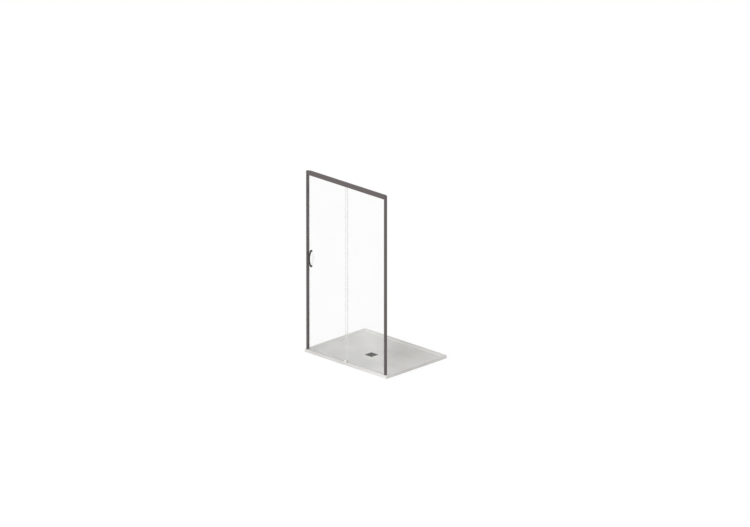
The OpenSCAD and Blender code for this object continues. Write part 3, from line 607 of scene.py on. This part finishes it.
print("a ring has", RING_POINTS, "points")


# %% One circle
def hoop(label, radius, z, middle):
    """A circle of edges with as many points as a ring."""
    bpy.ops.object.select_all(action="DESELECT")
    bpy.ops.mesh.primitive_circle_add(
        vertices=RING_POINTS, radius=radius, location=(*middle, z)
    )
    made = bpy.context.object
    bpy.ops.object.transform_apply(location=True, rotation=True)
    made.vertex_groups.new(name=label).add(range(RING_POINTS), 1, "REPLACE")
    return made


print("a circle's points are", 360 / RING_POINTS, "degrees apart")

# %% [markdown]
# ## The plan of the rings
# Each row of the plan has a name, half the length, half the width, the corner radius, the height
# and the middle of one ring. A circle has no corner radius. Close rings follow each rounding: the
# shoulder, the step and the edge of the recess. The rim stays a hair under the CAD face, so that
# no clear strip that stands on it shares its plane.

# %% Places taken from the CAD
RIM_UNDER = 0.00005
COVER_GAP = 0.002
MIDDLE = (0.0, 0.0)
tray_x, tray_y, tray_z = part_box("shower_tray")[1]
rim_z = tray_z - RIM_UNDER
cover_low, cover_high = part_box("drain_cover")
waste = ((cover_low.x + cover_high.x) / 2, (cover_low.y + cover_high.y) / 2)
recess_half = (cover_high.x - cover_low.x) / 2 + COVER_GAP
print("rim at", round(rim_z, 5), "and waste at", [round(c, 4) for c in waste])

# %% Underside and shoulder
OUTER_CORNER = 0.003
SHOULDER = 0.002
SHOULDER_RINGS = 5
plan = [("underside", tray_x, tray_y, OUTER_CORNER, 0, MIDDLE)]
for number in range(SHOULDER_RINGS):
    turn = math.radians(90 * number / (SHOULDER_RINGS - 1))
    cut = SHOULDER * (1 - math.cos(turn))
    z = rim_z - SHOULDER * (1 - math.sin(turn))
    plan.append((f"shoulder_{number}", tray_x - cut, tray_y - cut, OUTER_CORNER - cut, z, MIDDLE))
print(len(plan), "rings up to the rim")

# %% [markdown]
# ## The step and the basin
# A straight slope would leave two creases, so the step's height follows a smooth S from the rim
# to the foot, and begins and ends a little outside the slope. Four rings with wide corners then
# dish the floor, each a share of the way to the waste, so that no crease runs from the basin's
# corners to the waste. The cover lies in a square recess with a soft lip, and the bore goes on
# from its floor to the underside, where the last ring meets the first.

# %% Step down from the rim
RIM = 0.036
STEP_RUN = 0.015
STEP_DROP = 0.010
STEP_BLEND = 0.004
STEP_RINGS = 9
STEP_CORNER = 0.026
STEP_CORNER_LOSS = 0.012
step_from = RIM - STEP_BLEND
step_to = RIM + STEP_RUN + STEP_BLEND
for number in range(STEP_RINGS):
    way = number / (STEP_RINGS - 1)
    cut = step_from + (step_to - step_from) * way
    z = rim_z - STEP_DROP * (3 * way ** 2 - 2 * way ** 3)
    radius = STEP_CORNER - STEP_CORNER_LOSS * way
    plan.append((f"step_{number}", tray_x - cut, tray_y - cut, radius, z, MIDDLE))
print(len(plan), "rings down to the foot of the step")

# %% Basin floor
FALL = 0.004
DISH_WAYS = (0.12, 0.32, 0.58, 0.82)
DISH_CORNERS = (0.05, 0.1, 0.1, 0.05)
foot_x = tray_x - step_to
foot_y = tray_y - step_to
foot_z = rim_z - STEP_DROP
for number, (way, radius) in enumerate(zip(DISH_WAYS, DISH_CORNERS)):
    half_x = foot_x + (recess_half - foot_x) * way
    half_y = foot_y + (recess_half - foot_y) * way
    place = (waste[0] * way, waste[1] * way)
    plan.append((f"dish_{number}", half_x, half_y, radius, foot_z - FALL * way, place))
print(len(plan), "rings over the floor")

# %% Recess and bore
LIP = 0.0012
LIP_RINGS = 4
RECESS_CORNER = 0.002
RECESS = 0.009
BORE = 0.045
waste_z = foot_z - FALL
for number in range(LIP_RINGS):
    turn = math.radians(90 * number / (LIP_RINGS - 1))
    half = recess_half + LIP * (1 - math.sin(turn))
    z = waste_z - LIP * (1 - math.cos(turn))
    plan.append((f"lip_{number}", half, half, half - recess_half + RECESS_CORNER, z, waste))
plan.append(("recess_floor", recess_half, recess_half, RECESS_CORNER, waste_z - RECESS, waste))
plan.append(("bore_top", BORE, BORE, None, waste_z - RECESS, waste))
plan.append(("bore_foot", BORE, BORE, None, 0, waste))
print(len(plan), "rings in all")

# %% [markdown]
# ## Loft the rings
# Bridging joins two rings with a band of faces. Built face by face, a tray of so many rings would
# take much longer. It finds the matching points best between rings that stand well apart. So the
# rings are first stacked as a tall vase and bridged, and then each is moved down to its own
# height.

# %% Stack the rings
STACK = 0.1
rings = []
for number, (label, half_x, half_y, radius, z, middle) in enumerate(plan):
    if radius is None:
        rings.append(hoop(label, half_x, STACK * number, middle))
    else:
        rings.append(ring(label, half_x, half_y, radius, STACK * number, middle))
pick(rings[0])
for made in rings[1:]:
    made.select_set(True)
bpy.ops.object.join()
tray = bpy.context.object
tray.name = tray.data.name = "tray_casting"
print("stacked", len(tray.data.vertices), "points")


# %% Bridge them and set the heights
def choose_rings(*names):
    """In edit mode, selects only the named rings."""
    bpy.ops.mesh.select_all(action="DESELECT")
    for name in names:
        tray.vertex_groups.active_index = tray.vertex_groups[name].index
        bpy.ops.object.vertex_group_select()


edit_points(tray, False)
names = [row[0] for row in plan]
for first, second in zip(names, names[1:] + names[:1]):
    choose_rings(first, second)
    bpy.ops.mesh.bridge_edge_loops()
for number, row in enumerate(plan):
    choose_rings(row[0])
    bpy.ops.transform.translate(value=(0, 0, row[4] - STACK * number))
bpy.ops.mesh.select_all(action="SELECT")
bpy.ops.mesh.normals_make_consistent(inside=False)
bpy.ops.object.mode_set(mode="OBJECT")
print("bridged into", len(tray.data.polygons), "faces")

# %% [markdown]
# ## Smooth the tray
# Flat shading would show every band of the loft, and smooth shading alone would bend the light on
# the flat rim. So faces are smoothed only where they meet at a small angle, and weighted normals
# let the large faces stay flat.

# %% Finish the tray
SMOOTH_CAST = math.radians(40)


def apply(piece, kind, **settings):
    """Adds one modifier with its settings, and applies it at once."""
    pick(piece)
    modifier = piece.modifiers.new(kind.title(), kind)
    for name, value in settings.items():
        setattr(modifier, name, value)
    bpy.ops.object.modifier_apply(modifier=modifier.name)


pick(tray)
tray.vertex_groups.clear()
bpy.ops.object.shade_smooth_by_angle(angle=SMOOTH_CAST)
apply(tray, "WEIGHTED_NORMAL", keep_sharp=True)
tray.data.materials.append(casting)
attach(tray, "enclosure")
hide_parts("shower_tray")
print("tray:", len(tray.data.polygons), "faces,", [round(c, 4) for c in tray.dimensions])

# %% [markdown]
# ## The panes
# Toughened glass has its edges ground matt before it is hardened, and its holes are drilled then
# too. A pane is a block with the holes cut by a boolean, because a drilled hole is just that. A
# bevel of just under a millimetre breaks its edges. The two large faces are clear, and the narrow
# ones get the finish of ground glass.

# %% Rounded edges
SMOOTH_EDGES = math.radians(50)


def finish_edges(piece, width, steps, sharp):
    """Rounds the edges that are sharper than an angle, and lets the flat faces stay flat."""
    apply(
        piece, "BEVEL", width=width, segments=steps, limit_method="ANGLE",
        angle_limit=math.radians(sharp), use_clamp_overlap=True,
    )
    bpy.ops.object.shade_smooth_by_angle(angle=SMOOTH_EDGES)
    apply(piece, "WEIGHTED_NORMAL", keep_sharp=True)


print("edges are smoothed up to", round(math.degrees(SMOOTH_EDGES)), "degrees")

# %% One hole
DRILL_SIDES = 48
DRILL_LENGTH = 0.05


def drill_hole(block, place, radius):
    """Cuts a round hole through a pane, from its front to its back."""
    bpy.ops.object.select_all(action="DESELECT")
    bpy.ops.mesh.primitive_cylinder_add(
        vertices=DRILL_SIDES, radius=radius, depth=DRILL_LENGTH, location=place,
        rotation=(math.pi / 2, 0, 0),
    )
    drill = bpy.context.object
    apply(block, "BOOLEAN", object=drill, operation="DIFFERENCE", solver="EXACT")
    bpy.data.objects.remove(drill)


print("a hole has", DRILL_SIDES, "sides")

# %% One pane
ARRIS = 0.0008
SHARP_GLASS = 60
LARGE_FACE = 0.9


def pane(label, source, body, holes=()):
    """A pane of glass in the place of a CAD node, with round holes at the given places."""
    low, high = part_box(source)
    bpy.ops.object.select_all(action="DESELECT")
    bpy.ops.mesh.primitive_cube_add(size=1, location=(low + high) / 2)
    made = bpy.context.object
    made.name = made.data.name = label
    made.scale = high - low
    bpy.ops.object.transform_apply(location=True, scale=True)
    for x, z, radius in holes:
        drill_hole(made, (x, (low.y + high.y) / 2, z), radius)
    finish_edges(made, ARRIS, 1, SHARP_GLASS)
    made.data.materials.append(pane_glass)
    made.data.materials.append(arris_glass)
    for face in made.data.polygons:
        face.material_index = int(abs(face.normal.y) < LARGE_FACE)
    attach(made, body)
    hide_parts(source)
    print(label, [round(c, 4) for c in high - low], len(made.data.polygons), "faces")


print("the edges of a pane are broken by", ARRIS, "m")

# %% Both panes
HOLE = 0.006
bush_low, bush_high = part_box("handle_bushes")
bush_radius = (bush_high.x - bush_low.x) / 2
hole_x = (bush_low.x + bush_high.x) / 2
hole_heights = (bush_low.z + bush_radius, bush_high.z - bush_radius)
pane("door_glass", "door_pane", "door", [(hole_x, z, HOLE) for z in hole_heights])
pane("fixed_glass", "fixed_pane", "enclosure")

# %% [markdown]
# ## Softened profiles
# An extrusion die leaves no knife edge: the corners of the profiles are rounded by a few tenths
# of a millimetre, and that thin line is what catches the light. The profiles could be built anew,
# but the CAD already has their exact shape. Its mesh is loose triangles, so a copy is merged and
# its flat faces are joined first. A bevel then rounds only what is sharp.

# %% Soften a copy of a CAD piece
MERGE_WITHIN = 0.000005
FLAT_WITHIN = math.radians(0.5)
SHARP_METAL = 35


def soften(source, label, body, width, coat, steps=2):
    """Replaces a CAD node by a merged copy of itself with rounded edges."""
    original = node[source]
    made = bpy.data.objects.new(label, original.data.copy())
    bpy.context.scene.collection.objects.link(made)
    made.data.name = label
    edit_points(made, True)
    bpy.ops.mesh.remove_doubles(threshold=MERGE_WITHIN)
    bpy.ops.mesh.dissolve_limited(angle_limit=FLAT_WITHIN)
    bpy.ops.object.mode_set(mode="OBJECT")
    finish_edges(made, width, steps, SHARP_METAL)
    made.data.materials.clear()
    made.data.materials.append(coat)
    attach(made, body)
    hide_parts(source)
    print(label, len(made.data.polygons), "faces")


print("points within", MERGE_WITHIN, "m are merged")

# %% Frame profiles
PROFILE_EDGE = 0.0004
soften("header_rail", "header_profile", "enclosure", PROFILE_EDGE, profile_across)
soften("door_top_rail", "door_rail_profile", "door", PROFILE_EDGE, profile_across)
for source, label in (
    ("wall_channel_left", "channel_profile_left"), ("wall_channel_right", "channel_profile_right"),
    ("strike_post", "strike_profile"), ("glazing_post", "glazing_profile"),
    ("post_cap_left", "cap_plate_left"), ("post_cap_right", "cap_plate_right"),
):
    soften(source, label, "enclosure", PROFILE_EDGE, profile_upright)

# %% [markdown]
# ## Cover and handle fittings
# The cover is a coated plate, the handle's bow is bent from bar, and its round fittings are
# turned. The bow could be lofted anew, but the CAD has its exact curve, so a copy is softened as
# the profiles are. A hand meets these edges, so they are rounder than those of the profiles, and
# the handle's take one more step to look round up close.

# %% Cover and handle fittings
COVER_EDGE = 0.0005
FITTING_EDGE = 0.0006
BOW_EDGE = 0.001
ROUND_STEPS = 3
soften("drain_cover", "cover_plate", "cover", COVER_EDGE, cover_metal)
soften("handle_rosettes", "grip_rosettes", "door", FITTING_EDGE, grip_metal, ROUND_STEPS)
soften("handle_inner_discs", "grip_discs", "door", FITTING_EDGE, grip_metal, ROUND_STEPS)
soften("handle_bow", "grip_bow", "door", BOW_EDGE, grip_metal, ROUND_STEPS)
